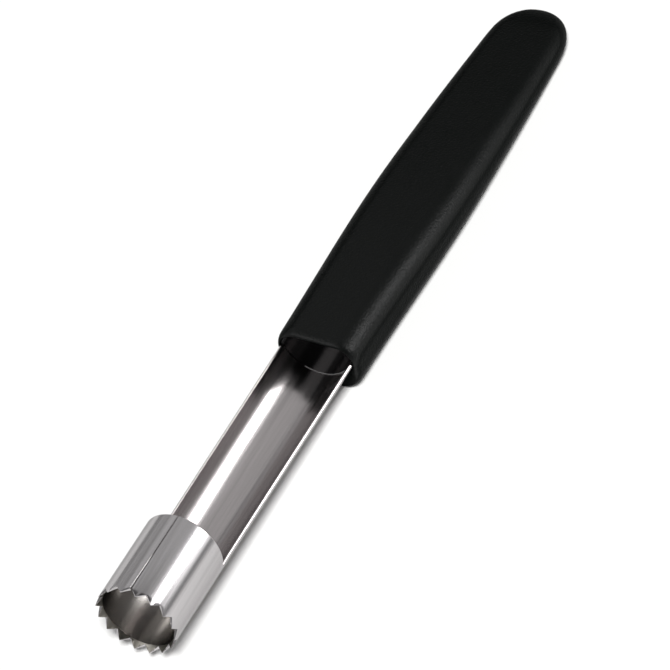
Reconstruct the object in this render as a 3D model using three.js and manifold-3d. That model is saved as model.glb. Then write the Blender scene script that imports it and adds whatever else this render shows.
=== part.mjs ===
// Apple corer: a toothed tube and trough rolled from one steel sheet, in a moulded two-layer handle.
//
// Millimetres. The tool is drawn along X with its tube axis on the X axis: x = 0 is the handle's front,
// the blade runs to +X and the handle to -X, and the trough is open upwards. At the end the tool is
// laid on its flat underside, with the origin below the middle of its box.

import * as THREE from 'three';
import { mergeVertices } from 'three/addons/utils/BufferGeometryUtils.js';
import Module from 'manifold-3d';

// Blade: tube, teeth and trough
const TUBE_DIAMETER = 20;
const SHEET_THICKNESS = 0.8;
const BLADE_REACH = 89.3; // tooth tips to the handle's front
const TUBE_LENGTH = 24.5; // tooth tips to the top of the tube's rear edge
const TUBE_EDGE_LEAN = 3.2; // degrees, the rear edge's sides stand forward of its top
const TOOTH_COUNT = 16;
const TOOTH_DEPTH = 1.75;
const TOOTH_TIP = 0.12; // flat left on each tip, on the inner side
const SEAM_GAP = 0.3; // where the rolled sheet's edges face each other
const RIM_DROP_AT_TUBE = 18.9; // degrees below the tube's axis
const RIM_DROP_AT_HANDLE = 16;

// Tang: the sheet's end inside the handle
const TANG_LENGTH = 30;
const TANG_SHOULDER = 12; // the trough keeps its width this far in
const TANG_WIDTH = 12;
const ANCHOR_DIAMETER = 4;
const ANCHOR_COUNT = 2;
const ANCHOR_PITCH = 8;
const ANCHOR_TO_END = 5; // last hole's centre to the tang's end

// Handle: outside of the grip
const HANDLE_LENGTH = 125.2;
const SIDE_WALL = 0.7; // grip outside the trough at the front
const UNDER_WALL = 2; // grip below the trough at the front
const LIP_HEIGHT = 2.4; // tube's axis to the handle's top at the front
const BELLY_WIDTH = 24;
const BELLY_STATION = 56; // widest place, from the front
const TAIL_WIDTH = 20;
const TAIL_THICKNESS = 8;
const TAIL_ROUNDING = 13; // length of the round end
const TAIL_EXPONENT = 2.5; // 2 is an ellipse, more is squarer
const UNDERSIDE_RISE = 1.3; // degrees, the underside climbs towards the tail
const CORNER_RADIUS = 5.5;
const CORNER_SHARE = 0.98; // a corner takes at most this share of a half width or half height
const FRONT_EDGE_RADIUS = 0.8;

// Handle: core inside the grip
const GRIP_SKIN = 1.1; // grip over the core's top
const CORE_SETBACK = 0.4; // core's face behind the grip's front
const CORE_TO_TAIL = 20; // grip behind the core
const CLEARANCE = 0.3; // between moulded pieces

// Mesh fineness
const STEPS_PER_TOOTH = 6;
const CORNER_STEPS = 6;
const PEG_STEPS = 24;
const EDGE_STEPS = 3;
const TROUGH_STEPS = 8;
const BODY_STEPS = 22;
const TAIL_STEPS = 10;

const { degToRad, radToDeg, lerp, smoothstep } = THREE.MathUtils;

const outerRadius = TUBE_DIAMETER / 2;
const innerRadius = outerRadius - SHEET_THICKNESS;
const roundSteps = TOOTH_COUNT * STEPS_PER_TOOTH;
const beyond = outerRadius / 2; // how far a cutting shape reaches past what it cuts
const handleBody = HANDLE_LENGTH - TAIL_ROUNDING;

const wasm = await Module();
wasm.setup();

// A closed geometry as a solid that can be joined and cut
function solidOf(geometry) {
  const bare = geometry.clone();
  bare.deleteAttribute('normal');
  bare.deleteAttribute('uv');
  const merged = mergeVertices(bare);
  const vertProperties = new Float32Array(merged.attributes.position.array);
  const triVerts = new Uint32Array(merged.index.array);
  return new wasm.Manifold(new wasm.Mesh({ numProp: 3, vertProperties, triVerts }));
}

function meshOf(name, solid, material) {
  const { vertProperties, triVerts } = solid.getMesh();
  const geometry = new THREE.BufferGeometry();
  geometry.setAttribute('position', new THREE.BufferAttribute(vertProperties, 3));
  geometry.setIndex(new THREE.BufferAttribute(triVerts, 1));
  geometry.computeVertexNormals();
  const mesh = new THREE.Mesh(geometry, material);
  mesh.name = name;
  return mesh;
}

// Joins rings of equally many points, listed from +X to -X and counter-clockwise seen from +X.
// Each end is closed by a fan round its own hub point.
function loft(rings, frontHub, rearHub) {
  const count = rings[0].length;
  const points = [...rings.flat(), frontHub, rearHub];
  const front = points.length - 2;
  const rear = points.length - 1;
  const lastRing = (rings.length - 1) * count;
  const faces = [];
  for (let i = 0; i < count; i += 1) {
    const next = (i + 1) % count;
    faces.push(front, i, next);
    faces.push(rear, lastRing + next, lastRing + i);
    for (let ring = 0; ring < lastRing; ring += count) {
      faces.push(ring + i, ring + count + i, ring + next);
      faces.push(ring + next, ring + count + i, ring + count + next);
    }
  }
  const geometry = new THREE.BufferGeometry().setFromPoints(points);
  geometry.setIndex(faces);
  return solidOf(geometry);
}

// A round bar along X
function bar(radius, fromX, toX) {
  const geometry = new THREE.CylinderGeometry(radius, radius, fromX - toX, roundSteps);
  geometry.rotateZ(-Math.PI / 2);
  geometry.translate((fromX + toX) / 2, 0, 0);
  return solidOf(geometry);
}

// The rolled sheet before its cuts: a ring along X, grown by a gap on both its faces
function sheetRing(gap, fromX, toX) {
  const inner = innerRadius - gap;
  const outer = outerRadius + gap;
  const profile = [
    [outer, toX],
    [outer, fromX],
    [inner, fromX],
    [inner, toX],
    [outer, toX],
  ];
  const geometry = new THREE.LatheGeometry(profile.map(([r, x]) => new THREE.Vector2(r, x)), roundSteps);
  geometry.rotateZ(-Math.PI / 2);
  return solidOf(geometry);
}

// A ring of the cut above the rims: the points round the open side, and the hub on the axis.
// A leaning ring's lower points stand forward.
function sectorRing(x, drop, lean) {
  const reach = outerRadius + beyond;
  const at = (y, z) => new THREE.Vector3(x + (outerRadius - z) * Math.tan(degToRad(lean)), y, z);
  const ring = [];
  for (let i = 0; i <= roundSteps; i += 1) {
    const angle = degToRad(lerp(-drop, 180 + drop, i / roundSteps));
    ring.push(at(reach * Math.cos(angle), reach * Math.sin(angle)));
  }
  ring.push(at(0, 0));
  return ring;
}

function sector(front, rear) {
  const rings = [sectorRing(front.x, front.drop, front.lean)];
  for (let i = 1; i <= TROUGH_STEPS; i += 1) {
    const along = i / TROUGH_STEPS;
    rings.push(sectorRing(lerp(front.x, rear.x, along), lerp(front.drop, rear.drop, along), 0));
  }
  return loft(rings, rings[0].at(-1).clone(), rings.at(-1).at(-1).clone());
}

// How far the trough's rims lie below the tube's axis, in degrees
const tubeEdge = BLADE_REACH - TUBE_LENGTH;
const rimDrop = (x) => lerp(RIM_DROP_AT_HANDLE, RIM_DROP_AT_TUBE, x / tubeEdge);

// All that is cut from the ring above the trough's rims and beside the tang, keeping a gap to them
function openSide(gap) {
  const slack = radToDeg(gap / innerRadius);
  const end = -TANG_LENGTH - beyond;
  const tangDrop = radToDeg(Math.acos(TANG_WIDTH / TUBE_DIAMETER)) - slack;
  const trough = sector(
    { x: tubeEdge, drop: rimDrop(tubeEdge) - slack, lean: TUBE_EDGE_LEAN },
    { x: end, drop: rimDrop(end) - slack },
  );
  const besideTang = sector(
    { x: -TANG_SHOULDER - gap, drop: tangDrop, lean: 0 },
    { x: end, drop: tangDrop },
  );
  return trough.add(besideTang);
}

// A V between two teeth, at the top of the tube
function toothNotch() {
  const pitch = (2 * Math.PI * innerRadius) / TOOTH_COUNT;
  const past = TOOTH_DEPTH / 2;
  const halfWidth = ((pitch - TOOTH_TIP) / 2) * (1 + past / TOOTH_DEPTH);
  const shape = new THREE.Shape();
  shape.moveTo(BLADE_REACH - TOOTH_DEPTH, 0);
  shape.lineTo(BLADE_REACH + past, -halfWidth);
  shape.lineTo(BLADE_REACH + past, halfWidth);
  shape.closePath();
  const depth = SHEET_THICKNESS + 2 * past;
  const geometry = new THREE.ExtrudeGeometry(shape, { depth, bevelEnabled: false });
  geometry.translate(0, 0, innerRadius - past);
  return geometry;
}

function seamCut() {
  const past = SHEET_THICKNESS;
  const geometry = new THREE.BoxGeometry(TUBE_LENGTH + 2 * past, SEAM_GAP, SHEET_THICKNESS + 2 * past);
  geometry.translate(BLADE_REACH - TUBE_LENGTH / 2, 0, outerRadius - SHEET_THICKNESS / 2);
  return solidOf(geometry);
}

// Upright pegs at the anchor places, from one height to another
function anchorPegs(radius, low, high) {
  const pegs = [];
  for (let i = 0; i < ANCHOR_COUNT; i += 1) {
    const geometry = new THREE.CylinderGeometry(radius, radius, high - low, PEG_STEPS);
    geometry.rotateX(Math.PI / 2);
    geometry.translate(-TANG_LENGTH + ANCHOR_TO_END + i * ANCHOR_PITCH, 0, (low + high) / 2);
    pegs.push(solidOf(geometry));
  }
  return pegs.reduce((all, peg) => all.add(peg));
}

function blade() {
  let solid = sheetRing(0, BLADE_REACH, -TANG_LENGTH).subtract(openSide(0)).subtract(seamCut());
  for (let i = 0; i < TOOTH_COUNT; i += 1) {
    const notch = toothNotch();
    notch.rotateX((i / TOOTH_COUNT) * 2 * Math.PI);
    solid = solid.subtract(solidOf(notch));
  }
  return solid.subtract(anchorPegs(ANCHOR_DIAMETER / 2, -outerRadius - beyond, -outerRadius + beyond));
}

// Eases from 0 at t = 0, level at first and then steeper
const ease = (t) => 1 - Math.cos((t * Math.PI) / 2);

// The handle's size at a distance behind its front
function handleSize(distance) {
  const frontHalfWidth = outerRadius + SIDE_WALL;
  const frontThickness = outerRadius + UNDER_WALL + LIP_HEIGHT;
  const behindBelly = Math.max(0, (distance - BELLY_STATION) / (handleBody - BELLY_STATION));
  const swell = smoothstep(distance, 0, BELLY_STATION);
  const halfWidth = distance < BELLY_STATION
    ? lerp(frontHalfWidth, BELLY_WIDTH / 2, swell)
    : lerp(BELLY_WIDTH / 2, TAIL_WIDTH / 2, ease(behindBelly));
  const thickness = lerp(frontThickness, TAIL_THICKNESS, ease(distance / handleBody));
  const bottom = -outerRadius - UNDER_WALL + distance * Math.tan(degToRad(UNDERSIDE_RISE));
  return { halfWidth, halfHeight: thickness / 2, middle: bottom + thickness / 2 };
}

// A rounded rectangle across the handle, counter-clockwise seen from +X
function handleRing(distance, inset, shrink) {
  const size = handleSize(distance);
  const halfWidth = size.halfWidth * shrink.width - inset;
  const halfHeight = size.halfHeight * shrink.height - inset;
  const radius = Math.min(CORNER_RADIUS - inset, CORNER_SHARE * Math.min(halfHeight, halfWidth));
  const ring = [];
  for (let corner = 0; corner < 4; corner += 1) {
    const sideY = corner === 0 || corner === 3 ? 1 : -1;
    const sideZ = corner < 2 ? 1 : -1;
    for (let i = 0; i <= CORNER_STEPS; i += 1) {
      const angle = ((corner + i / CORNER_STEPS) * Math.PI) / 2;
      const y = sideY * (halfWidth - radius) + radius * Math.cos(angle);
      const z = size.middle + sideZ * (halfHeight - radius) + radius * Math.sin(angle);
      ring.push(new THREE.Vector3(-distance, y, z));
    }
  }
  return ring;
}

const fullSize = { width: 1, height: 1 };
const hubOf = (distance) => new THREE.Vector3(-distance, 0, handleSize(distance).middle);

// The grip's outside: a rounded front edge, the body, and a round end that narrows to a point
function gripOutside() {
  const rings = [];
  for (let i = 0; i <= EDGE_STEPS; i += 1) {
    const angle = ((i / EDGE_STEPS) * Math.PI) / 2;
    const inset = FRONT_EDGE_RADIUS * (1 - Math.sin(angle));
    rings.push(handleRing(FRONT_EDGE_RADIUS * (1 - Math.cos(angle)), inset, fullSize));
  }
  for (let i = 1; i <= BODY_STEPS; i += 1) {
    rings.push(handleRing(lerp(FRONT_EDGE_RADIUS, handleBody, i / BODY_STEPS), 0, fullSize));
  }
  for (let i = 1; i < TAIL_STEPS; i += 1) {
    const angle = ((i / TAIL_STEPS) * Math.PI) / 2;
    const width = Math.cos(angle) ** (2 / TAIL_EXPONENT);
    const distance = handleBody + TAIL_ROUNDING * Math.sin(angle) ** (2 / TAIL_EXPONENT);
    rings.push(handleRing(distance, 0, { width, height: Math.sqrt(width) }));
  }
  return loft(rings, hubOf(0), hubOf(HANDLE_LENGTH));
}

// The space inside the grip's skin and the trough, between two distances behind the front
function coreSpace(inset, radius, from, to) {
  const rings = [];
  for (let i = 0; i <= BODY_STEPS; i += 1) {
    rings.push(handleRing(lerp(from, to, i / BODY_STEPS), inset, fullSize));
  }
  return loft(rings, hubOf(from), hubOf(to)).intersect(bar(radius, beyond - from, -to - beyond));
}

const coreEnd = HANDLE_LENGTH - CORE_TO_TAIL;
const coreRadius = innerRadius - CLEARANCE;

function core() {
  const body = coreSpace(GRIP_SKIN + CLEARANCE, coreRadius, CORE_SETBACK, coreEnd);
  return body.add(anchorPegs(ANCHOR_DIAMETER / 2 - CLEARANCE, -outerRadius, -coreRadius + SHEET_THICKNESS));
}

function grip() {
  const coreCavity = coreSpace(GRIP_SKIN, innerRadius, -beyond, coreEnd + CLEARANCE);
  const bladeSlot = sheetRing(CLEARANCE, beyond, -TANG_LENGTH - CLEARANCE).subtract(openSide(CLEARANCE));
  return gripOutside().subtract(coreCavity).subtract(bladeSlot);
}

const steel = new THREE.MeshStandardMaterial({ color: 0xc3c5c6, roughness: 0.18, metalness: 1 });
const coreBlack = new THREE.MeshStandardMaterial({ color: 0x0d0d0e, roughness: 0.25, metalness: 0 });
const gripBlack = new THREE.MeshStandardMaterial({ color: 0x1b1b1c, roughness: 0.65, metalness: 0 });

const tool = new THREE.Group();
tool.add(meshOf('corer_blade', blade(), steel));
tool.add(meshOf('handle_core', core(), coreBlack));
tool.add(meshOf('handle_grip', grip(), gripBlack));

// Laid on its underside, with the origin below the middle of its box
tool.rotation.y = -degToRad(UNDERSIDE_RISE);
const box = new THREE.Box3().setFromObject(tool, true);
const middle = box.getCenter(new THREE.Vector3());
tool.position.set(-middle.x, -middle.y, -box.min.z);

const appleCorer = new THREE.Group();
appleCorer.add(tool);

export default appleCorer;
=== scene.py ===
"""Apple corer: the finished surfaces of its blade, core and grip, on a studio floor."""

import math
from typing import NamedTuple

import bmesh
import bpy
from mathutils import Matrix, Vector


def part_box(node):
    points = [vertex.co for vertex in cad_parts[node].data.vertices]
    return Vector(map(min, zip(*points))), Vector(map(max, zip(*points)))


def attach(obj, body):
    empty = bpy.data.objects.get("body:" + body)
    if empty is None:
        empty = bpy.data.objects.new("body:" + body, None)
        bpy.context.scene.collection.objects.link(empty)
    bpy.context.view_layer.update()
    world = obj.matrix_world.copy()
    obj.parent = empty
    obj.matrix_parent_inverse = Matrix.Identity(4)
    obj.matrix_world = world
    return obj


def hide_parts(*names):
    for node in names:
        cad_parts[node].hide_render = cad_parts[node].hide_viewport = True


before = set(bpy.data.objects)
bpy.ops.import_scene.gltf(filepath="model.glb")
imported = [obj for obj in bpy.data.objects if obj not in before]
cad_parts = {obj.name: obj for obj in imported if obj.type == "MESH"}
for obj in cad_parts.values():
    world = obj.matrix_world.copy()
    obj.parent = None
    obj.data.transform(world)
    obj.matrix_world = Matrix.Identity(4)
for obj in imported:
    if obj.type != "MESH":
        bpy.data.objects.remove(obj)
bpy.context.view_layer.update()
blade_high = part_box("corer_blade")[1]
grip_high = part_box("handle_grip")[1]

bl_info = {
    "name": "Apple Corer",
    "version": (1, 0, 0),
    "blender": (4, 5, 0),
    "location": "3D View > Sidebar > Corer",
    "description": "Models a toothed steel apple corer with a moulded two-layer handle",
    "category": "Add Mesh",
}

MM = 0.001
BODY = "root"

# Two places closer than NEAR are the same station, and two corners closer than MERGE are one
NEAR = 0.1 * MM
MERGE = 0.001 * MM


def linear(hex_colour):
    """An sRGB hex colour as linear red, green and blue."""
    channels = [int(hex_colour[i:i + 2], 16) / 255 for i in (1, 3, 5)]
    return [c / 12.92 if c <= 0.04045 else ((c + 0.055) / 1.055) ** 2.4 for c in channels]


def length(name, description, millimetres):
    """A length that the panel shows in the scene's units."""
    return bpy.props.FloatProperty(
        name=name, description=description, default=millimetres * MM, unit="LENGTH", precision=5)


def angle(name, description, degrees):
    """An angle that the panel shows in degrees."""
    return bpy.props.FloatProperty(
        name=name, description=description, default=math.radians(degrees), subtype="ANGLE")


def number(name, description, value):
    """A plain number."""
    return bpy.props.FloatProperty(name=name, description=description, default=value)


def factor(name, description, share):
    """A share from 0 to 1 that the panel shows as a slider."""
    return bpy.props.FloatProperty(
        name=name, description=description, default=share, subtype="FACTOR", min=0, max=1)


def count(name, description, value):
    """A whole number of copies."""
    return bpy.props.IntProperty(name=name, description=description, default=value, min=1)


def colour(name, description, hex_colour):
    """A colour that the panel shows as a swatch."""
    return bpy.props.FloatVectorProperty(
        name=name, description=description, default=linear(hex_colour), subtype="COLOR",
        size=3, min=0, max=1)


class CorerBladeSizes(bpy.types.PropertyGroup):
    """The rolled steel sheet: tube, teeth, trough and tang"""

    tube_radius: length("Tube radius", "Tube's axis to its outer face", blade_high.y / MM)
    sheet: length("Sheet", "Thickness of the steel sheet", 0.8)
    reach: length("Reach", "Tooth tips to the handle's front", 89.3)
    tube_length: length("Tube length", "Tooth tips to the top of the tube's rear edge", 24.5)
    edge_lean: angle("Edge lean", "How far the rear edge's sides stand forward of its top", 3.2)
    teeth: count("Teeth", "Number of teeth round the tube", 16)
    tooth_depth: length("Tooth depth", "Tooth tip to the bottom of the notch", 1.75)
    seam: length("Seam", "Gap where the rolled sheet's edges face each other", 0.3)
    drop_at_tube: angle("Rim drop at the tube", "Rims below the tube's axis at the tube", 18.9)
    drop_at_handle: angle("Rim drop at the handle", "Rims below the tube's axis at the handle", 16)
    tang: length("Tang", "Length of the sheet inside the handle", 30)
    tang_shoulder: length("Tang shoulder", "The trough keeps its width this far into the handle", 12)
    tang_step: length("Tang step", "Length over which the trough narrows to the tang", 1)
    tang_width: length("Tang width", "Width of the sheet's inner end", 12)
    rim_tilt: angle("Rim tilt", "How far the trimmed rims lean outwards", 20)
    grind: length("Grind", "Length of the ground slope inside the tooth tips", 1.9)
    tip: length("Tip", "Thickness that the grinding leaves at a tooth tip", 0.15)
    edge_round: length("Edge rounding", "Rounding of the rims and of the tube's rear edge", 0.3)
    tooth_round: length("Tooth rounding", "Rounding of the teeth and of the seam", 0.05)


class CorerHandleSizes(bpy.types.PropertyGroup):
    """The moulded handle: a matte grip over a glossy core"""

    long: length("Length", "Handle's front to its tail", 125.2)
    side_wall: length("Side wall", "Grip outside the trough at the front", 0.7)
    under_wall: length("Under wall", "Grip below the trough at the front", 2)
    lip_height: length("Lip height", "Tube's axis to the handle's top at the front", 2.4)
    belly_width: length("Belly width", "Handle's greatest width", 2 * grip_high.y / MM)
    belly_station: length("Belly station", "Handle's front to its widest place", 56)
    tail_width: length("Tail width", "Width where the round end starts", 20)
    tail_thickness: length("Tail thickness", "Thickness where the round end starts", 8)
    tail_rounding: length("Tail rounding", "Length of the round end", 13)
    tail_exponent: number("Tail exponent", "2 is an ellipse, more is squarer", 2.4)
    tail_fullness: number("Tail fullness", "Below 1 the round end keeps its height longer", 0.8)
    underside_rise: angle("Underside rise", "Climb of the underside towards the tail", 1.3)
    corner_radius: length("Corner radius", "Rounding of the handle's long edges", 5.5)
    corner_share: factor("Corner share", "Most of a half width or height that a corner takes", 0.98)
    front_inset: length("Front inset", "How far the rounded front edge draws in", 0.9)
    front_depth: length("Front depth", "How far back the front edge's rounding starts", 2.4)
    skin: length("Skin", "Thickness of the grip over the core", 1.1)
    lip_round: length("Lip rounding", "Rounding of the lip's inner edge", 0.15)
    core_setback: length("Core setback", "Core's face behind the grip's front", 0.4)
    core_to_tail: length("Core to tail", "Grip behind the core", 20)
    core_round: length("Core rounding", "Rounding of the core's front edge", 0.2)
    bead: length("Bead", "Thickness of the flash line between the core and the trough", 0.2)
    bead_start: angle("Bead start", "Start of the flash line, from the trough's lowest line", -26)
    bead_end: angle("Bead end", "End of the flash line, from the trough's lowest line", 50)
    fit: length("Fit", "Gap between pieces that are moulded together", 0.04)


class CorerFinishes(bpy.types.PropertyGroup):
    """Colours, gloss and grain of the three materials"""

    steel: colour("Steel", "Polished stainless steel", "#cac7c8")
    steel_shade: colour("Steel shade", "Steel where the polish is thinner", "#b1aeaf")
    # Painted shade: the tube's inside is painted darker than its polish alone makes it, as shade of its
    # hollow
    raw_steel_and_hollow_shade: colour("Raw steel", "Steel inside the tube, where the belt doesn't reach", "#a4a19e")
    ground_steel: colour("Ground steel", "Ground slopes of the teeth", "#96928b")
    # Painted shade: the trough's wall is tinted darker and warmer, as shade of the trough's hollow
    trough_shade_tint: colour("Trough tint", "Tint of the trough's wall, which the belt polishes less", "#f4f1f0")
    # Painted shade: a grey specular tint that dims the outside's reflections at a low angle
    edge_shine: factor("Edge shine", "Share of its shine that the outside keeps at a low angle", 0.55)
    polish_best: factor("Best polish", "Roughness of the steel where the polish is best", 0.15)
    polish_worst: factor("Worst polish", "Roughness of the steel where the polish is worst", 0.25)
    raw_roughness: factor("Raw roughness", "Roughness of the steel inside the tube", 0.22)
    ground_roughness: factor("Ground roughness", "Roughness of the ground slopes", 0.36)
    polish_line: length("Polishing line", "Width of a polishing line on the steel", 0.45)
    line_stretch: number("Line stretch", "Length of a polishing line over its width", 160)
    line_depth: length("Line depth", "Depth of a polishing line", 0.008)
    streak: length("Streak", "Width of a streak that the polishing belt leaves", 2.2)
    streak_stretch: number("Streak stretch", "Length of a streak over its width", 40)
    streak_depth: length("Streak depth", "Depth of a streak", 0.05)
    grip: colour("Grip", "Moulded black grip", "#030504")
    grip_shade: colour("Grip shade", "Lighter specks of the grip", "#080b0a")
    grip_smooth: factor("Smooth grip", "Roughness of the grip's smoother patches", 0.35)
    grip_rough: factor("Rough grip", "Roughness of the grip's rougher patches", 0.42)
    grip_gloss: factor("Grip gloss", "Specular level of the grip seen from above", 0.19)
    side_gloss: factor("Side gloss", "Specular level of the grip seen at a slant", 0.021)
    edge_gloss: factor("Edge gloss", "Specular level of the grip seen at a low angle", 0.009)
    plain_gloss: factor("Plain gloss", "Specular level of the grip where it can't follow the eye", 0.2)
    grain: length("Grain", "Width of a grain of the grip's moulded texture", 0.5)
    grain_depth: length("Grain depth", "Depth of the grip's moulded texture", 0.13)
    patch: length("Patch", "Width of a smoother or rougher patch of the grip", 12)
    core: colour("Core", "Glossy black core", "#0a0a0b")
    # Painted highlight: the flash line is coloured pale so that it shows as a light line where the core
    # meets the trough
    flash_highlight: colour("Flash", "Thin flash of the core, which bends and turns pale", "#9a9a9a")
    core_gloss: factor("Core gloss", "Specular level of the core", 0.09)
    core_smooth: factor("Smooth core", "Roughness of the core's smoothest places", 0.1)
    core_rough: factor("Rough core", "Roughness of the core's roughest places", 0.2)
    ripple: length("Ripple", "Width of a ripple on the core's moulded face", 2.5)
    ripple_depth: length("Ripple depth", "Depth of a ripple on the core's moulded face", 0.03)


class CorerStage(bpy.types.PropertyGroup):
    """Floor, walls, lights and camera"""

    floor: colour("Floor", "Pale studio floor", "#f1f1f0")
    floor_half: length("Floor half", "Half the width of the studio floor", 4000)
    floor_light: number("Floor light", "Strength of the distant light on the floor", 3.9)
    floor_light_width: angle("Floor light width", "How wide the distant light looks", 16)
    walls: colour("Walls", "Studio walls", "#9e9e9e")
    ceiling: colour("Ceiling", "Studio ceiling", "#303030")
    wall_top: factor("Wall top", "Where the walls end, 0 is the horizon and 1 is overhead", 0.525)
    ceiling_edge: factor("Ceiling edge", "Where the ceiling starts, on the same scale", 0.555)
    azimuth: angle("Azimuth", "Direction of the camera, 0 looks along +Y", 125.61)
    elevation: angle("Elevation", "Height of the camera above the horizon", 46.79)
    roll: angle("Roll", "Turn of the camera about its own line of sight", -12.23)
    distance: length("Distance", "Camera to the point that it looks at", 1250)
    lens: number("Lens", "Focal length on a 36 mm wide sensor, in millimetres", 286.0)


def add_node(tree, kind, inputs=None, links=None, **settings):
    """Adds a node to a tree, with its settings, the values of its inputs and the links to them."""
    node = tree.nodes.new(kind)
    for name, value in settings.items():
        setattr(node, name, value)
    for name, value in (inputs or {}).items():
        node.inputs[name].default_value = value
    for name, socket in (links or {}).items():
        tree.links.new(socket, node.inputs[name])
    return node


def new_material(name):
    """A material with an empty node tree and its output node."""
    material = bpy.data.materials.new(name)
    material.use_nodes = True
    material.node_tree.nodes.clear()
    output = add_node(material.node_tree, "ShaderNodeOutputMaterial")
    return material, material.node_tree, output


def opaque(rgb):
    """A colour with full alpha, as a node's socket takes it."""
    return (*rgb, 1.0)


# Face attributes that tell a material where it lies
INSIDE = "inside_tube"
TROUGH = "trough_wall"
GROUND = "ground_slope"
# The flash line's faces, which take a pale colour as a painted highlight
FLASH_HIGHLIGHT = "flash_line_highlight"

# Most values of a noise texture lie in this span
NOISE_SPAN = {"From Min": 0.3, "From Max": 0.7}

POLYPROPYLENE_IOR = 1.49


def stainless_steel(finishes, tilt):
    """Stainless steel sheet, stamped, rolled and polished along its length.

    To the eye it is a slightly soft mirror: fine lengthwise polishing lines blur what it
    reflects, and broader streaks of the polishing belt lighten and darken it.
    The lines are drawn coarser than they are, so that they show.
    At a low angle the outside's reflections are dimmed by a grey specular tint: painted shade.
    The trough's wall is tinted a little darker and warmer, as painted shade of its hollow, and keeps its
    full reflection at a low angle.
    The inside of the tube is darker still, less polished and painted darker as shade of its hollow, and the
    ground slopes of the teeth are satin.
    """
    material, tree, output = new_material("stainless_steel_polished_sheet")
    coords = add_node(tree, "ShaderNodeTexCoord")
    fine = 1 / finishes.polish_line
    along_lines = add_node(
        tree, "ShaderNodeMapping",
        {"Rotation": (0, tilt, 0), "Scale": (fine / finishes.line_stretch, fine, fine)},
        {"Vector": coords.outputs["Object"]})
    lines = add_node(
        tree, "ShaderNodeTexNoise", {"Scale": 1.0, "Detail": 3.0, "Roughness": 0.6},
        {"Vector": along_lines.outputs["Vector"]})
    broad = 1 / finishes.streak
    along_streaks = add_node(
        tree, "ShaderNodeMapping",
        {"Rotation": (0, tilt, 0), "Scale": (broad / finishes.streak_stretch, broad, broad)},
        {"Vector": coords.outputs["Object"]})
    streaks = add_node(
        tree, "ShaderNodeTexNoise", {"Scale": 1.0, "Detail": 3.0, "Roughness": 0.55},
        {"Vector": along_streaks.outputs["Vector"]})

    wear = add_node(tree, "ShaderNodeMapRange", NOISE_SPAN, {"Value": streaks.outputs["Fac"]})
    tone = add_node(
        tree, "ShaderNodeMix", {"A": opaque(finishes.steel), "B": opaque(finishes.steel_shade)},
        {"Factor": wear.outputs["Result"]}, data_type="RGBA")
    roughness = add_node(
        tree, "ShaderNodeMapRange",
        {**NOISE_SPAN, "To Min": finishes.polish_best, "To Max": finishes.polish_worst},
        {"Value": lines.outputs["Fac"]})

    inside = add_node(tree, "ShaderNodeAttribute", attribute_name=INSIDE)
    ground = add_node(tree, "ShaderNodeAttribute", attribute_name=GROUND)
    trough = add_node(tree, "ShaderNodeAttribute", attribute_name=TROUGH)
    # Inside the tube and on the trough's wall the tone is painted darker, as shade of the hollows; the
    # ground slopes have their own tone
    for place, own_tone, blend in (
            (inside, finishes.raw_steel_and_hollow_shade, "MIX"),
            (ground, finishes.ground_steel, "MIX"),
            (trough, finishes.trough_shade_tint, "MULTIPLY")):
        tone = add_node(
            tree, "ShaderNodeMix", {"B": opaque(own_tone)},
            {"A": tone.outputs["Result"], "Factor": place.outputs["Fac"]},
            data_type="RGBA", blend_type=blend)
    for place, own_roughness in (
            (inside, finishes.raw_roughness),
            (ground, finishes.ground_roughness)):
        roughness = add_node(
            tree, "ShaderNodeMix", {"B": own_roughness},
            {"A": roughness.outputs["Result"], "Factor": place.outputs["Fac"]})
    # Painted shade: at a low angle the outside's reflections are dimmed by a grey specular tint; the
    # trough's wall keeps its full reflection
    shine = finishes.edge_shine
    edge_tint = add_node(
        tree, "ShaderNodeMix", {"A": opaque((shine, shine, shine)), "B": opaque((1, 1, 1))},
        {"Factor": trough.outputs["Fac"]}, data_type="RGBA")

    line_bump = add_node(
        tree, "ShaderNodeBump", {"Strength": 0.5, "Distance": finishes.line_depth},
        {"Height": lines.outputs["Fac"]})
    streak_bump = add_node(
        tree, "ShaderNodeBump", {"Strength": 0.5, "Distance": finishes.streak_depth},
        {"Height": streaks.outputs["Fac"], "Normal": line_bump.outputs["Normal"]})
    shader = add_node(
        tree, "ShaderNodeBsdfPrincipled", {"Metallic": 1.0},
        {"Base Color": tone.outputs["Result"], "Roughness": roughness.outputs["Result"],
         "Normal": streak_bump.outputs["Normal"], "Specular Tint": edge_tint.outputs["Result"]})
    tree.links.new(shader.outputs["BSDF"], output.inputs["Surface"])
    return material


# How far a surface is turned from the eye, from 0, square on, to 1, edge on: the gloss of the grip's
# top fades out over the first span, and the gloss at a slant drops to that of the edges over the second
TOP_GLOSS_SPAN = {"From Min": 0.27, "From Max": 0.48}
SIDE_GLOSS_SPAN = {"From Min": 0.46, "From Max": 0.66}

# The two run smoothly into each other where they differ by less than this
GLOSS_BLEND = 0.03


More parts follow.
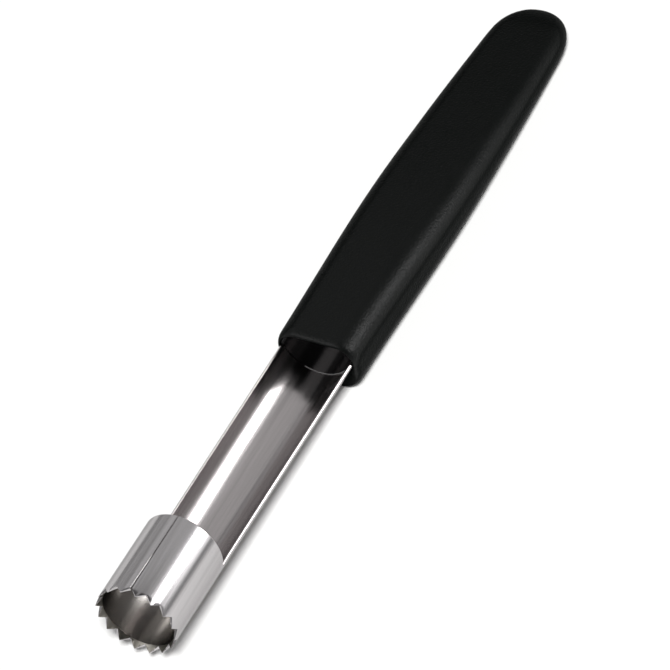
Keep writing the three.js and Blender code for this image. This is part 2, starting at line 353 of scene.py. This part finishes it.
def matte_polypropylene(finishes):
    """Black polypropylene, moulded in a spark-eroded mould.

    To the eye it is a soft black with a fine even grain, which spreads highlights into dull bands.
    The grain's hollows hide one another at a low angle, so the gloss fades there.
    The grain is drawn coarser than it is, so that it shows.
    """
    material, tree, output = new_material("polypropylene_spark_eroded_grain")
    coords = add_node(tree, "ShaderNodeTexCoord")
    grain = add_node(
        tree, "ShaderNodeTexNoise", {"Scale": 1 / finishes.grain, "Detail": 2.0, "Roughness": 0.55},
        {"Vector": coords.outputs["Object"]})
    patches = add_node(
        tree, "ShaderNodeTexNoise", {"Scale": 1 / finishes.patch, "Detail": 2.0},
        {"Vector": coords.outputs["Object"]})
    tone = add_node(
        tree, "ShaderNodeMix", {"A": opaque(finishes.grip), "B": opaque(finishes.grip_shade)},
        {"Factor": grain.outputs["Fac"]}, data_type="RGBA")
    roughness = add_node(
        tree, "ShaderNodeMapRange",
        {**NOISE_SPAN, "To Min": finishes.grip_smooth, "To Max": finishes.grip_rough},
        {"Value": patches.outputs["Fac"]})
    bump = add_node(
        tree, "ShaderNodeBump", {"Strength": 1.0, "Distance": finishes.grain_depth},
        {"Height": grain.outputs["Fac"]})

    slant = add_node(tree, "ShaderNodeLayerWeight", {"Blend": 0.5})
    top_gloss = add_node(
        tree, "ShaderNodeMapRange", {**TOP_GLOSS_SPAN, "To Min": finishes.grip_gloss, "To Max": 0.0},
        {"Value": slant.outputs["Facing"]}, interpolation_type="SMOOTHSTEP")
    side_gloss = add_node(
        tree, "ShaderNodeMapRange",
        {**SIDE_GLOSS_SPAN, "To Min": finishes.side_gloss, "To Max": finishes.edge_gloss},
        {"Value": slant.outputs["Facing"]})
    gloss = add_node(
        tree, "ShaderNodeMath", {2: GLOSS_BLEND},
        {0: top_gloss.outputs["Result"], 1: side_gloss.outputs["Result"]}, operation="SMOOTH_MAX")
    shader = add_node(
        tree, "ShaderNodeBsdfPrincipled",
        {"IOR": POLYPROPYLENE_IOR, "Specular IOR Level": finishes.plain_gloss},
        {"Base Color": tone.outputs["Result"], "Roughness": roughness.outputs["Result"],
         "Specular IOR Level": gloss.outputs["Value"], "Normal": bump.outputs["Normal"]})
    tree.links.new(shader.outputs["BSDF"], output.inputs["Surface"])
    return material


def glossy_polypropylene(finishes):
    """Black polypropylene, moulded in a polished mould.

    To the eye it is near black, with mirror-like reflections that ripple a little.
    Its flash line is coloured pale, as a painted highlight.
    """
    material, tree, output = new_material("polypropylene_polished_mould")
    coords = add_node(tree, "ShaderNodeTexCoord")
    ripple = add_node(
        tree, "ShaderNodeTexNoise", {"Scale": 1 / finishes.ripple, "Detail": 2.0},
        {"Vector": coords.outputs["Object"]})
    roughness = add_node(
        tree, "ShaderNodeMapRange",
        {**NOISE_SPAN, "To Min": finishes.core_smooth, "To Max": finishes.core_rough},
        {"Value": ripple.outputs["Fac"]})
    # Painted highlight: the flash line's faces take the pale colour
    flash_highlight = add_node(tree, "ShaderNodeAttribute", attribute_name=FLASH_HIGHLIGHT)
    tone = add_node(
        tree, "ShaderNodeMix", {"A": opaque(finishes.core), "B": opaque(finishes.flash_highlight)},
        {"Factor": flash_highlight.outputs["Fac"]}, data_type="RGBA")
    bump = add_node(
        tree, "ShaderNodeBump", {"Strength": 0.4, "Distance": finishes.ripple_depth},
        {"Height": ripple.outputs["Fac"]})
    shader = add_node(
        tree, "ShaderNodeBsdfPrincipled",
        {"IOR": POLYPROPYLENE_IOR, "Specular IOR Level": finishes.core_gloss},
        {"Base Color": tone.outputs["Result"], "Roughness": roughness.outputs["Result"],
         "Normal": bump.outputs["Normal"]})
    tree.links.new(shader.outputs["BSDF"], output.inputs["Surface"])
    return material


def studio_paper(stage):
    """A pale sheet of studio paper, which is dull all over."""
    material, tree, output = new_material("studio_paper")
    paper = add_node(tree, "ShaderNodeBsdfDiffuse", {"Color": opaque(stage.floor)})
    tree.links.new(paper.outputs["BSDF"], output.inputs["Surface"])
    return material


# Edges that turn by more than these are shaded as corners, or rounded on the sheet and the mouldings
SHADED_CORNER = math.radians(40)
SHEET_CORNER = math.radians(50)
MOULDED_CORNER = math.radians(60)
ROUNDING_STEPS = 3


def tool_to_row(blade, handle):
    """Where the tool lies: the tube's axis is its X axis, and X = 0 is the handle's front."""
    rise = handle.underside_rise
    lowest_tips = blade.tube_radius * math.cos(math.pi / blade.teeth)
    front = blade_high.x - blade.reach * math.cos(rise) - lowest_tips * math.sin(rise)
    axis = (blade.tube_radius + handle.under_wall) * math.cos(rise)
    return Matrix.Translation((front, 0, axis)) @ Matrix.Rotation(-rise, 4, "Y")


def finish_piece(context, bm, name, material, node):
    """Lays a mesh in its place and makes it the piece that stands for a node of the frame."""
    scene = context.scene
    place = tool_to_row(scene.corer_blade_sizes, scene.corer_handle_sizes)
    bmesh.ops.transform(bm, matrix=place, verts=bm.verts)
    for edge in bm.edges:
        if edge.is_manifold and edge.calc_face_angle() > SHADED_CORNER:
            edge.smooth = False
    mesh = bpy.data.meshes.new(name)
    bm.to_mesh(mesh)
    bm.free()
    mesh.shade_smooth()
    mesh.materials.append(material)
    piece = bpy.data.objects.new(name, mesh)
    scene.collection.objects.link(piece)
    normals = piece.modifiers.new("even_shading", "WEIGHTED_NORMAL")
    normals.keep_sharp = True
    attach(piece, BODY)
    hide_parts(node)
    return piece


def round_edges(bm, edges, offset):
    """Rounds edges by a bevel."""
    bmesh.ops.bevel(
        bm, geom=edges, offset=offset, offset_type="OFFSET", segments=ROUNDING_STEPS, profile=0.5,
        affect="EDGES", material=-1, clamp_overlap=True)


# Columns of faces round the tube for each tooth, and places along the trough as shares of its length
COLUMNS_PER_TOOTH = 12
TROUGH_STATIONS = (0.25, 0.5, 0.75, 0.95, 1)

# Sharp edges further than this in front of the tube's rear edge belong to the teeth and the seam
REAR_EDGE_ZONE = 2 * MM

# Inner corners within this angle of the rim lie on it
RIM_ZONE = math.radians(0.1)


def off_axis(point):
    """Distance of a point from the tube's axis."""
    return math.hypot(point.y, point.z)


def turn_from_below(point):
    """Angle of a point round the tube's axis from its lowest line, alike on both sides."""
    return math.atan2(abs(point.y), -point.z)


def rear_edge(blade):
    """Place along the tool of the top of the tube's rear edge."""
    return blade.reach - blade.tube_length


def grind_start(blade):
    """Place along the tool where the ground slope starts."""
    return blade.reach - blade.grind


def rim_angle(blade, x):
    """Angle from the sheet's lowest line round to its rim, at a place along the tool."""
    if x < -blade.tang_shoulder:
        return math.asin(blade.tang_width / 2 / blade.tube_radius)
    along = x / rear_edge(blade)
    drop = blade.drop_at_handle * (1 - along) + blade.drop_at_tube * along
    return math.pi / 2 - drop


def stamped_place(blade, point, rim_column, step, side):
    """Where a corner of the spun sheet goes: its rims, seam, rear edge and teeth as they are cut."""
    radius = blade.tube_radius
    edge = rear_edge(blade)
    half_pitch = math.pi / blade.teeth
    last_tip = math.pi - half_pitch
    seam_edge = math.pi - blade.seam / 2 / radius
    x = point.x
    around = turn_from_below(point)
    if x < edge + NEAR:
        shift = rim_angle(blade, x) - rim_column
        below = around <= rim_column + step / 2
        share = around / rim_column if below else (math.pi - around) / (math.pi - rim_column)
        around += shift * share
    if around > last_tip:
        around = last_tip + (around - last_tip) * (seam_edge - last_tip) / half_pitch
    height = -radius * math.cos(around)
    if abs(x - edge) < NEAR:
        x += (radius - height) * math.tan(blade.edge_lean)
    if x > blade.reach - NEAR:
        from_tip = abs(around / half_pitch % 2 - 1)
        x -= blade.tooth_depth * from_tip
    return x, side * radius * math.sin(around), height


def roll_sheet(blade):
    """The sheet's outer face: half a ring is spun, cut back to the trough, stamped and mirrored."""
    edge = rear_edge(blade)
    shoulder = -blade.tang_shoulder
    stations = [-blade.tang, shoulder - blade.tang_step, shoulder, 0]
    stations += [edge * share for share in TROUGH_STATIONS]
    stations += [grind_start(blade), blade.reach]
    steps = blade.teeth * COLUMNS_PER_TOOTH // 2
    step = math.pi / steps
    rim_column = round(rim_angle(blade, edge) / step) * step

    bm = bmesh.new()
    line = [bm.verts.new((x, 0, -blade.tube_radius)) for x in stations]
    rules = [bm.edges.new(pair) for pair in zip(line, line[1:])]
    bmesh.ops.spin(
        bm, geom=line + rules, cent=(0, 0, 0), axis=(1, 0, 0), angle=math.pi, steps=steps,
        use_merge=False, use_duplicate=False)
    above_rims = [
        face for face in bm.faces
        if face.calc_center_median().x < edge
        and turn_from_below(face.calc_center_median()) > rim_column]
    bmesh.ops.delete(bm, geom=above_rims, context="FACES")

    side = 1 if sum(vert.co.y for vert in bm.verts) > 0 else -1
    for vert in bm.verts:
        vert.co = stamped_place(blade, vert.co, rim_column, step, side)
    bmesh.ops.mirror(bm, geom=bm.verts[:] + bm.edges[:] + bm.faces[:], axis="Y", merge_dist=MERGE)
    bmesh.ops.remove_doubles(bm, verts=bm.verts, dist=MERGE)
    bmesh.ops.recalc_face_normals(bm, faces=bm.faces)
    return bm


def thicken_sheet(bm, blade):
    """Gives the sheet its wall, inwards, grinds the teeth inside and tilts the trough's rims."""
    lowest = min(bm.faces, key=lambda face: face.calc_center_median().z)
    if lowest.normal.z > 0:
        bmesh.ops.reverse_faces(bm, faces=bm.faces)
    bmesh.ops.solidify(bm, geom=bm.faces[:], thickness=blade.sheet)

    middle = blade.tube_radius - blade.sheet / 2
    start = grind_start(blade)
    for vert in [vert for vert in bm.verts if off_axis(vert.co) < middle]:
        near_rim = turn_from_below(vert.co) > rim_angle(blade, vert.co.x) - RIM_ZONE
        if vert.co.x > start:
            ground_off = (blade.sheet - blade.tip) * (vert.co.x - start) / blade.grind
            grow = 1 + ground_off / off_axis(vert.co)
            vert.co.yz = (vert.co.y * grow, vert.co.z * grow)
        elif vert.co.x < rear_edge(blade) and near_rim:
            lift = blade.sheet * math.tan(blade.rim_tilt) / off_axis(vert.co)
            vert.co.yz = Matrix.Rotation(math.copysign(lift, vert.co.y), 2) @ vert.co.yz
    bm.normal_update()


def mark_finishes(bm, blade):
    """Marks the faces inside the tube, inside the trough and on the ground slopes."""
    middle = blade.tube_radius - blade.sheet / 2
    is_inside = bm.faces.layers.float.new(INSIDE)
    is_ground = bm.faces.layers.float.new(GROUND)
    is_trough = bm.faces.layers.float.new(TROUGH)
    for face in bm.faces:
        centre = face.calc_center_median()
        if off_axis(centre) > middle:
            continue
        if centre.x < rear_edge(blade):
            face[is_trough] = 1
        elif centre.x < grind_start(blade):
            face[is_inside] = 1
        else:
            face[is_ground] = 1
    for edge in bm.edges:
        if len({face[is_ground] for face in edge.link_faces}) == 2:
            edge.smooth = False


def round_sheet(bm, blade):
    """Rounds the rims and the tube's rear edge and, by less, the teeth and the seam."""
    middle = blade.tube_radius - blade.sheet / 2
    sharp = [
        edge for edge in bm.edges
        if edge.is_manifold and edge.calc_face_angle() > SHEET_CORNER
        and (off_axis(edge.verts[0].co) < middle) == (off_axis(edge.verts[1].co) < middle)]
    tube_start = rear_edge(blade) + REAR_EDGE_ZONE
    in_tube = [edge for edge in sharp if max(vert.co.x for vert in edge.verts) > tube_start]
    on_rims = [
        edge for edge in sharp
        if edge not in in_tube and min(vert.co.x for vert in edge.verts) > -NEAR]
    for edges, offset in ((on_rims, blade.edge_round), (in_tube, blade.tooth_round)):
        round_edges(bm, [edge for edge in edges if edge.is_valid], offset)


# Faces round a corner of the handle's section, and cuts in each of its straight sides
CORNER_STEPS = 12
SIDE_CUTS = 9

# A side of the section is straight if it is square to within this share of its length
SQUARE = 0.001


def level_start(share):
    """From 0 to 1, level at first and then steeper."""
    return 1 - math.cos(share * math.pi / 2)


def level_ends(share):
    """From 0 to 1, level at both ends."""
    return share * share * (3 - 2 * share)


def handle_size(blade, handle, behind):
    """Half width, half height and middle height of the handle at a distance behind its front."""
    body = handle.long - handle.tail_rounding
    front_width = blade.tube_radius + handle.side_wall
    front_thickness = blade.tube_radius + handle.under_wall + handle.lip_height
    belly = handle.belly_width / 2
    if behind < handle.belly_station:
        share = level_ends(max(0, behind / handle.belly_station))
        half_width = front_width + (belly - front_width) * share
    else:
        share = level_start((behind - handle.belly_station) / (body - handle.belly_station))
        half_width = belly + (handle.tail_width / 2 - belly) * share
    thinner = handle.tail_thickness - front_thickness
    thickness = front_thickness + thinner * level_start(behind / body)
    underside = behind * math.tan(handle.underside_rise) - blade.tube_radius - handle.under_wall
    return half_width, thickness / 2, underside + thickness / 2


def is_straight_side(edge):
    """Whether an edge of a ring is one of its four straight sides."""
    across = edge.verts[1].co - edge.verts[0].co
    return min(abs(across.y), abs(across.z)) < across.length * SQUARE


def handle_ring(bm, sizes, behind, inset=0, width=1, height=1):
    """A closed line of edges round the handle: a rectangle with its corners rounded by a bevel."""
    blade, handle = sizes
    half_width, half_height, middle = handle_size(blade, handle, behind)
    half_width = half_width * width - inset
    half_height = half_height * height - inset
    radius = min(handle.corner_radius - inset, handle.corner_share * min(half_width, half_height))
    before = set(bm.edges)
    corners = [
        bm.verts.new((-behind, y * half_width, middle + z * half_height))
        for y, z in ((1, 1), (-1, 1), (-1, -1), (1, -1))]
    sides = [bm.edges.new((corners[i - 1], corners[i])) for i in range(4)]
    bmesh.ops.bevel(
        bm, geom=corners + sides, offset=radius, offset_type="OFFSET", segments=CORNER_STEPS,
        profile=0.5, affect="VERTICES", material=-1, clamp_overlap=False)
    straight = [edge for edge in bm.edges if edge not in before and is_straight_side(edge)]
    bmesh.ops.subdivide_edges(bm, edges=straight, cuts=SIDE_CUTS)
    return [edge for edge in bm.edges if edge not in before]


def corners_of(ring):
    """The vertices of a ring of edges."""
    return list({vert for edge in ring for vert in edge.verts})


def bridge(bm, rings):
    """Joins each ring of edges to the next by a band of faces."""
    for ring, following in zip(rings, rings[1:]):
        bmesh.ops.bridge_loops(bm, edges=ring + following)


def close_ring(bm, ring):
    """Draws a small ring together to a point."""
    verts = corners_of(ring)
    middle = sum((vert.co for vert in verts), Vector()) / len(verts)
    bmesh.ops.pointmerge(bm, verts=verts, merge_co=middle)


def within_tube(ring, radius, lower_radius, rim_height):
    """Draws a ring in to a radius about the tube's axis, and to a lesser one below the rims."""
    for vert in corners_of(ring):
        most = lower_radius if vert.co.z < rim_height else radius
        out = off_axis(vert.co)
        if out > most:
            vert.co.yz = (vert.co.y * most / out, vert.co.z * most / out)


def towards_ellipse(ring, share):
    """Draws a ring's corners in, by a share of the way to the ellipse inside the ring."""
    verts = corners_of(ring)
    half_width = max(vert.co.y for vert in verts)
    low = min(vert.co.z for vert in verts)
    high = max(vert.co.z for vert in verts)
    middle = (low + high) / 2
    half_height = (high - low) / 2
    for vert in verts:
        across = vert.co.y
        up = vert.co.z - middle
        draw_in = 1 - share + share / math.hypot(across / half_width, up / half_height)
        vert.co.yz = (across * draw_in, middle + up * draw_in)


# Rings along the grip's body, its round tail and its rounded front edge
BODY_STEPS = 44
TAIL_STEPS = 18
FRONT_STEPS = 6


def grip_outside(bm, sizes):
    """Rings of the grip's outside, from the tail to the rounded front edge."""
    handle = sizes[1]
    body = handle.long - handle.tail_rounding
    power = 2 / handle.tail_exponent
    rings = []
    for i in range(TAIL_STEPS - 1, 0, -1):
        # The rings lie closer together towards the tip
        turn = (1 - (1 - i / TAIL_STEPS) ** 2) * math.pi / 2
        width = math.cos(turn) ** power
        behind = body + handle.tail_rounding * math.sin(turn) ** power
        ring = handle_ring(bm, sizes, behind, 0, width, width ** handle.tail_fullness)
        towards_ellipse(ring, 1 - width * width)
        rings.append(ring)
    for i in range(BODY_STEPS, 0, -1):
        behind = handle.front_depth + (body - handle.front_depth) * i / BODY_STEPS
        rings.append(handle_ring(bm, sizes, behind))
    for i in range(FRONT_STEPS + 1):
        turn = i / FRONT_STEPS * math.pi / 2
        behind = handle.front_depth * (1 - math.sin(turn))
        rings.append(handle_ring(bm, sizes, behind, handle.front_inset * (1 - math.cos(turn))))
    return rings


def grip_pocket(bm, sizes):
    """Rings of the pocket for the core and the trough, from the grip's front to the pocket's floor."""
    blade, handle = sizes
    end = handle.long - handle.core_to_tail + handle.fit
    radius = blade.tube_radius + handle.fit
    rings = []
    for i in range(BODY_STEPS + 1):
        ring = handle_ring(bm, sizes, handle.fit + (end - handle.fit) * i / BODY_STEPS, handle.skin)
        within_tube(ring, radius, radius, 0)
        rings.append(ring)
    return rings


def mould_grip(blade, handle):
    """The grip: its outside, its pocket and the rounded lip between them."""
    bm = bmesh.new()
    outside = grip_outside(bm, (blade, handle))
    pocket = grip_pocket(bm, (blade, handle))
    bridge(bm, outside + pocket)
    close_ring(bm, outside[0])
    bmesh.ops.edgeloop_fill(bm, edges=pocket[-1])
    bmesh.ops.recalc_face_normals(bm, faces=bm.faces)
    lip = [
        edge for edge in bm.edges
        if max(abs(vert.co.x + handle.fit) for vert in edge.verts) < MERGE
        and edge.is_manifold and edge.calc_face_angle() > MOULDED_CORNER]
    round_edges(bm, lip, handle.lip_round)
    return bm


# Rings along the core beside the tang and behind it, and faces round and along the flash line
CORE_TANG_STEPS = 10
CORE_REAR_STEPS = 20
BEAD_SIDES = 10
BEAD_STEPS = 24


def mould_core(blade, handle):
    """The core: its glossy face between the rims, and its body inside the trough and the grip."""
    front = handle.core_setback
    clear = blade.tang + handle.fit
    end = handle.long - handle.core_to_tail
    beside_tang = [front + (clear - front) * i / CORE_TANG_STEPS for i in range(CORE_TANG_STEPS + 1)]
    behind_tang = [clear + (end - clear) * i / CORE_REAR_STEPS for i in range(CORE_REAR_STEPS + 1)]
    outer = blade.tube_radius - handle.fit
    bm = bmesh.new()
    rings = []
    for stations, lower in ((beside_tang, outer - blade.sheet), (behind_tang, outer)):
        for behind in stations:
            ring = handle_ring(bm, (blade, handle), behind, handle.skin + handle.fit)
            if behind > blade.tang_shoulder:
                rim_height = -blade.tube_radius * math.sin(blade.drop_at_handle)
            else:
                rim_height = -blade.tube_radius * math.cos(rim_angle(blade, -behind)) + handle.fit
            within_tube(ring, outer, lower, rim_height)
            rings.append(ring)
    bridge(bm, rings)
    bmesh.ops.edgeloop_fill(bm, edges=rings[0])
    bmesh.ops.edgeloop_fill(bm, edges=rings[-1])
    bmesh.ops.recalc_face_normals(bm, faces=bm.faces)
    front_edge = [
        edge for edge in bm.edges
        if max(vert.co.x for vert in edge.verts) > -front - MERGE
        and edge.calc_face_angle() > MOULDED_CORNER]
    round_edges(bm, front_edge, handle.core_round)
    add_bead(bm, blade, handle)
    return bm


def add_bead(bm, blade, handle):
    """The thin line of flash that the moulding leaves where the core's face meets the trough."""
    # Its faces are marked to take a pale colour, a painted highlight of the line
    is_flash_highlight = bm.faces.layers.float.new(FLASH_HIGHLIGHT)
    before = set(bm.faces)
    radius = handle.bead / 2
    place = Vector((-handle.core_setback, 0, blade.sheet + radius - blade.tube_radius))
    start = (
        Matrix.Rotation(handle.bead_start, 4, "X") @ Matrix.Translation(place)
        @ Matrix.Rotation(math.pi / 2, 4, "X"))
    circle = bmesh.ops.create_circle(bm, cap_ends=True, segments=BEAD_SIDES, radius=radius, matrix=start)
    faces = {face for vert in circle["verts"] for face in vert.link_faces}
    bmesh.ops.spin(
        bm, geom=circle["verts"] + list(faces), cent=(0, 0, 0), axis=(1, 0, 0),
        angle=handle.bead_end - handle.bead_start, steps=BEAD_STEPS, use_merge=False, use_duplicate=False)
    for face in bm.faces:
        if face not in before:
            face[is_flash_highlight] = 1
    bmesh.ops.recalc_face_normals(bm, faces=bm.faces)


class CORER_OT_blade(bpy.types.Operator):
    """Model the toothed tube and trough, rolled from one sheet of steel"""

    bl_idname = "corer.blade"
    bl_label = "Blade"

    def execute(self, context):
        scene = context.scene
        blade = scene.corer_blade_sizes
        material = stainless_steel(scene.corer_finishes, scene.corer_handle_sizes.underside_rise)
        bm = roll_sheet(blade)
        thicken_sheet(bm, blade)
        mark_finishes(bm, blade)
        round_sheet(bm, blade)
        finish_piece(context, bm, "toothed_blade", material, "corer_blade")
        return {"FINISHED"}


class CORER_OT_core(bpy.types.Operator):
    """Model the glossy core that fills the handle behind the trough"""

    bl_idname = "corer.core"
    bl_label = "Core"

    def execute(self, context):
        scene = context.scene
        material = glossy_polypropylene(scene.corer_finishes)
        bm = mould_core(scene.corer_blade_sizes, scene.corer_handle_sizes)
        finish_piece(context, bm, "glossy_core", material, "handle_core")
        return {"FINISHED"}


class CORER_OT_grip(bpy.types.Operator):
    """Model the matte grip over the core, with its rounded front lip"""

    bl_idname = "corer.grip"
    bl_label = "Grip"

    def execute(self, context):
        scene = context.scene
        material = matte_polypropylene(scene.corer_finishes)
        bm = mould_grip(scene.corer_blade_sizes, scene.corer_handle_sizes)
        finish_piece(context, bm, "matte_grip", material, "handle_grip")
        return {"FINISHED"}


class Softbox(NamedTuple):
    """A soft light: its place, the point that it faces and its size in millimetres, watts and turn."""

    name: str
    place: tuple
    aim: tuple
    size: tuple
    watts: float
    turn: float = 0


# A strip beside the tool with a dim border below it, and one overhead, one in front and one behind
SOFTBOXES = (
    Softbox("strip_softbox", place=(-92.5, 164, 135), aim=(-92.5, 0, 12), size=(170, 85),
            watts=0.34, turn=math.radians(-33)),
    Softbox("softbox_border", place=(-50, 188, 94), aim=(-50, 0, 12), size=(70, 40), watts=0.0106),
    Softbox("ceiling_panel", place=(-90, -23.8, 200), aim=(-90, -23.8, 0), size=(170, 378), watts=0.112),
    Softbox("front_panel", place=(170, -150, 300), aim=(60, 0, 10), size=(300, 200), watts=0.55),
    Softbox("back_panel", place=(-250, -370, 200), aim=(20, 0, 12), size=(500, 150), watts=0.03),
)

# Where the distant light on the floor goes, and the point that the camera looks at
FLOOR_LIGHT_WAY = Vector((-0.5, -0.32, -1))
CAMERA_AIM = Vector((7.06, -1.2, 4.56)) * MM


def place_object(context, name, data):
    """Puts a floor, lamp or camera in the scene."""
    item = bpy.data.objects.new(name, data)
    context.scene.collection.objects.link(item)
    return item


def facing(direction):
    """The turn that points a lamp or a camera in a direction."""
    return direction.to_track_quat("-Z", "Y")


def add_floor(context, stage):
    """The studio floor, a square of paper."""
    bm = bmesh.new()
    bmesh.ops.create_grid(bm, x_segments=1, y_segments=1, size=stage.floor_half)
    mesh = bpy.data.meshes.new("studio_floor")
    bm.to_mesh(mesh)
    bm.free()
    mesh.materials.append(studio_paper(stage))
    floor = place_object(context, "studio_floor", mesh)
    return floor


def link_light(lamp, floor, state):
    """Keeps a light for the floor alone (INCLUDE), or keeps it off the floor (EXCLUDE)."""
    group = bpy.data.collections.new(lamp.name + "_floor")
    group.objects.link(floor)
    group.collection_objects[0].light_linking.link_state = state
    lamp.light_linking.receiver_collection = group


def add_softbox(context, box):
    """An area light that faces a point, turned on its own axis. The camera doesn't see it."""
    light = bpy.data.lights.new(box.name, "AREA")
    light.shape = "RECTANGLE"
    light.size = box.size[0] * MM
    light.size_y = box.size[1] * MM
    light.energy = box.watts
    lamp = place_object(context, box.name, light)
    lamp.location = Vector(box.place) * MM
    lamp.rotation_euler = facing(Vector(box.aim) - Vector(box.place)).to_euler()
    lamp.rotation_euler.rotate_axis("Z", box.turn)
    lamp.visible_camera = False
    return lamp


def add_floor_light(context, stage):
    """A distant light, which whitens the floor and draws the tool's shadow on it."""
    light = bpy.data.lights.new("floor_light", "SUN")
    light.energy = stage.floor_light
    light.angle = stage.floor_light_width
    lamp = place_object(context, "floor_light", light)
    lamp.rotation_euler = facing(FLOOR_LIGHT_WAY).to_euler()
    return lamp


def add_walls(context, stage):
    """Grey studio walls under a dark ceiling."""
    world = bpy.data.worlds.new("studio_walls")
    world.use_nodes = True
    tree = world.node_tree
    tree.nodes.clear()
    coords = add_node(tree, "ShaderNodeTexCoord")
    height = add_node(tree, "ShaderNodeSeparateXYZ", links={"Vector": coords.outputs["Generated"]})
    ramp = add_node(tree, "ShaderNodeValToRGB", links={"Fac": height.outputs["Z"]})
    low, high = ramp.color_ramp.elements
    low.position = stage.wall_top
    low.color = opaque(stage.walls)
    high.position = stage.ceiling_edge
    high.color = opaque(stage.ceiling)
    background = add_node(tree, "ShaderNodeBackground", links={"Color": ramp.outputs["Color"]})
    output = add_node(tree, "ShaderNodeOutputWorld")
    tree.links.new(background.outputs["Background"], output.inputs["Surface"])
    context.scene.world = world


def add_camera(context, stage):
    """The camera, at a distance from the point that it looks at."""
    data = bpy.data.cameras.new("camera")
    data.lens = stage.lens
    camera = place_object(context, "camera", data)
    flat = math.cos(stage.elevation)
    back = Vector((
        math.sin(stage.azimuth) * flat, -math.cos(stage.azimuth) * flat, math.sin(stage.elevation)))
    camera.matrix_world = (
        Matrix.Translation(CAMERA_AIM + back * stage.distance)
        @ facing(-back).to_matrix().to_4x4() @ Matrix.Rotation(stage.roll, 4, "Z"))
    context.scene.camera = camera


class CORER_OT_stage(bpy.types.Operator):
    """Make the floor, the walls, the lights and the camera"""

    bl_idname = "corer.stage"
    bl_label = "Stage"

    def execute(self, context):
        stage = context.scene.corer_stage
        context.scene.view_settings.view_transform = "Standard"
        floor = add_floor(context, stage)
        add_walls(context, stage)
        for box in SOFTBOXES:
            link_light(add_softbox(context, box), floor, "EXCLUDE")
        link_light(add_floor_light(context, stage), floor, "INCLUDE")
        add_camera(context, stage)
        return {"FINISHED"}


class CORER_PT_panel(bpy.types.Panel):
    """Steps, sizes and finishes of the apple corer"""

    bl_label = "Apple Corer"
    bl_idname = "CORER_PT_panel"
    bl_space_type = "VIEW_3D"
    bl_region_type = "UI"
    bl_category = "Corer"

    def draw(self, context):
        for operator in OPERATORS:
            self.layout.operator(operator.bl_idname)
        for name, group in GROUPS.items():
            box = self.layout.box()
            box.label(text=group.__doc__)
            for setting in group.__annotations__:
                box.prop(getattr(context.scene, name), setting)


GROUPS = {
    "corer_blade_sizes": CorerBladeSizes,
    "corer_handle_sizes": CorerHandleSizes,
    "corer_finishes": CorerFinishes,
    "corer_stage": CorerStage,
}
OPERATORS = (CORER_OT_blade, CORER_OT_core, CORER_OT_grip, CORER_OT_stage)
CLASSES = (*GROUPS.values(), *OPERATORS, CORER_PT_panel)


def register():
    for cls in CLASSES:
        bpy.utils.register_class(cls)
    for name, group in GROUPS.items():
        setattr(bpy.types.Scene, name, bpy.props.PointerProperty(type=group))


def unregister():
    for name in GROUPS:
        delattr(bpy.types.Scene, name)
    for cls in reversed(CLASSES):
        bpy.utils.unregister_class(cls)


def main():
    register()
    bpy.ops.corer.blade()
    bpy.ops.corer.core()
    bpy.ops.corer.grip()
    bpy.ops.corer.stage()


if __name__ == "__main__":
    main()
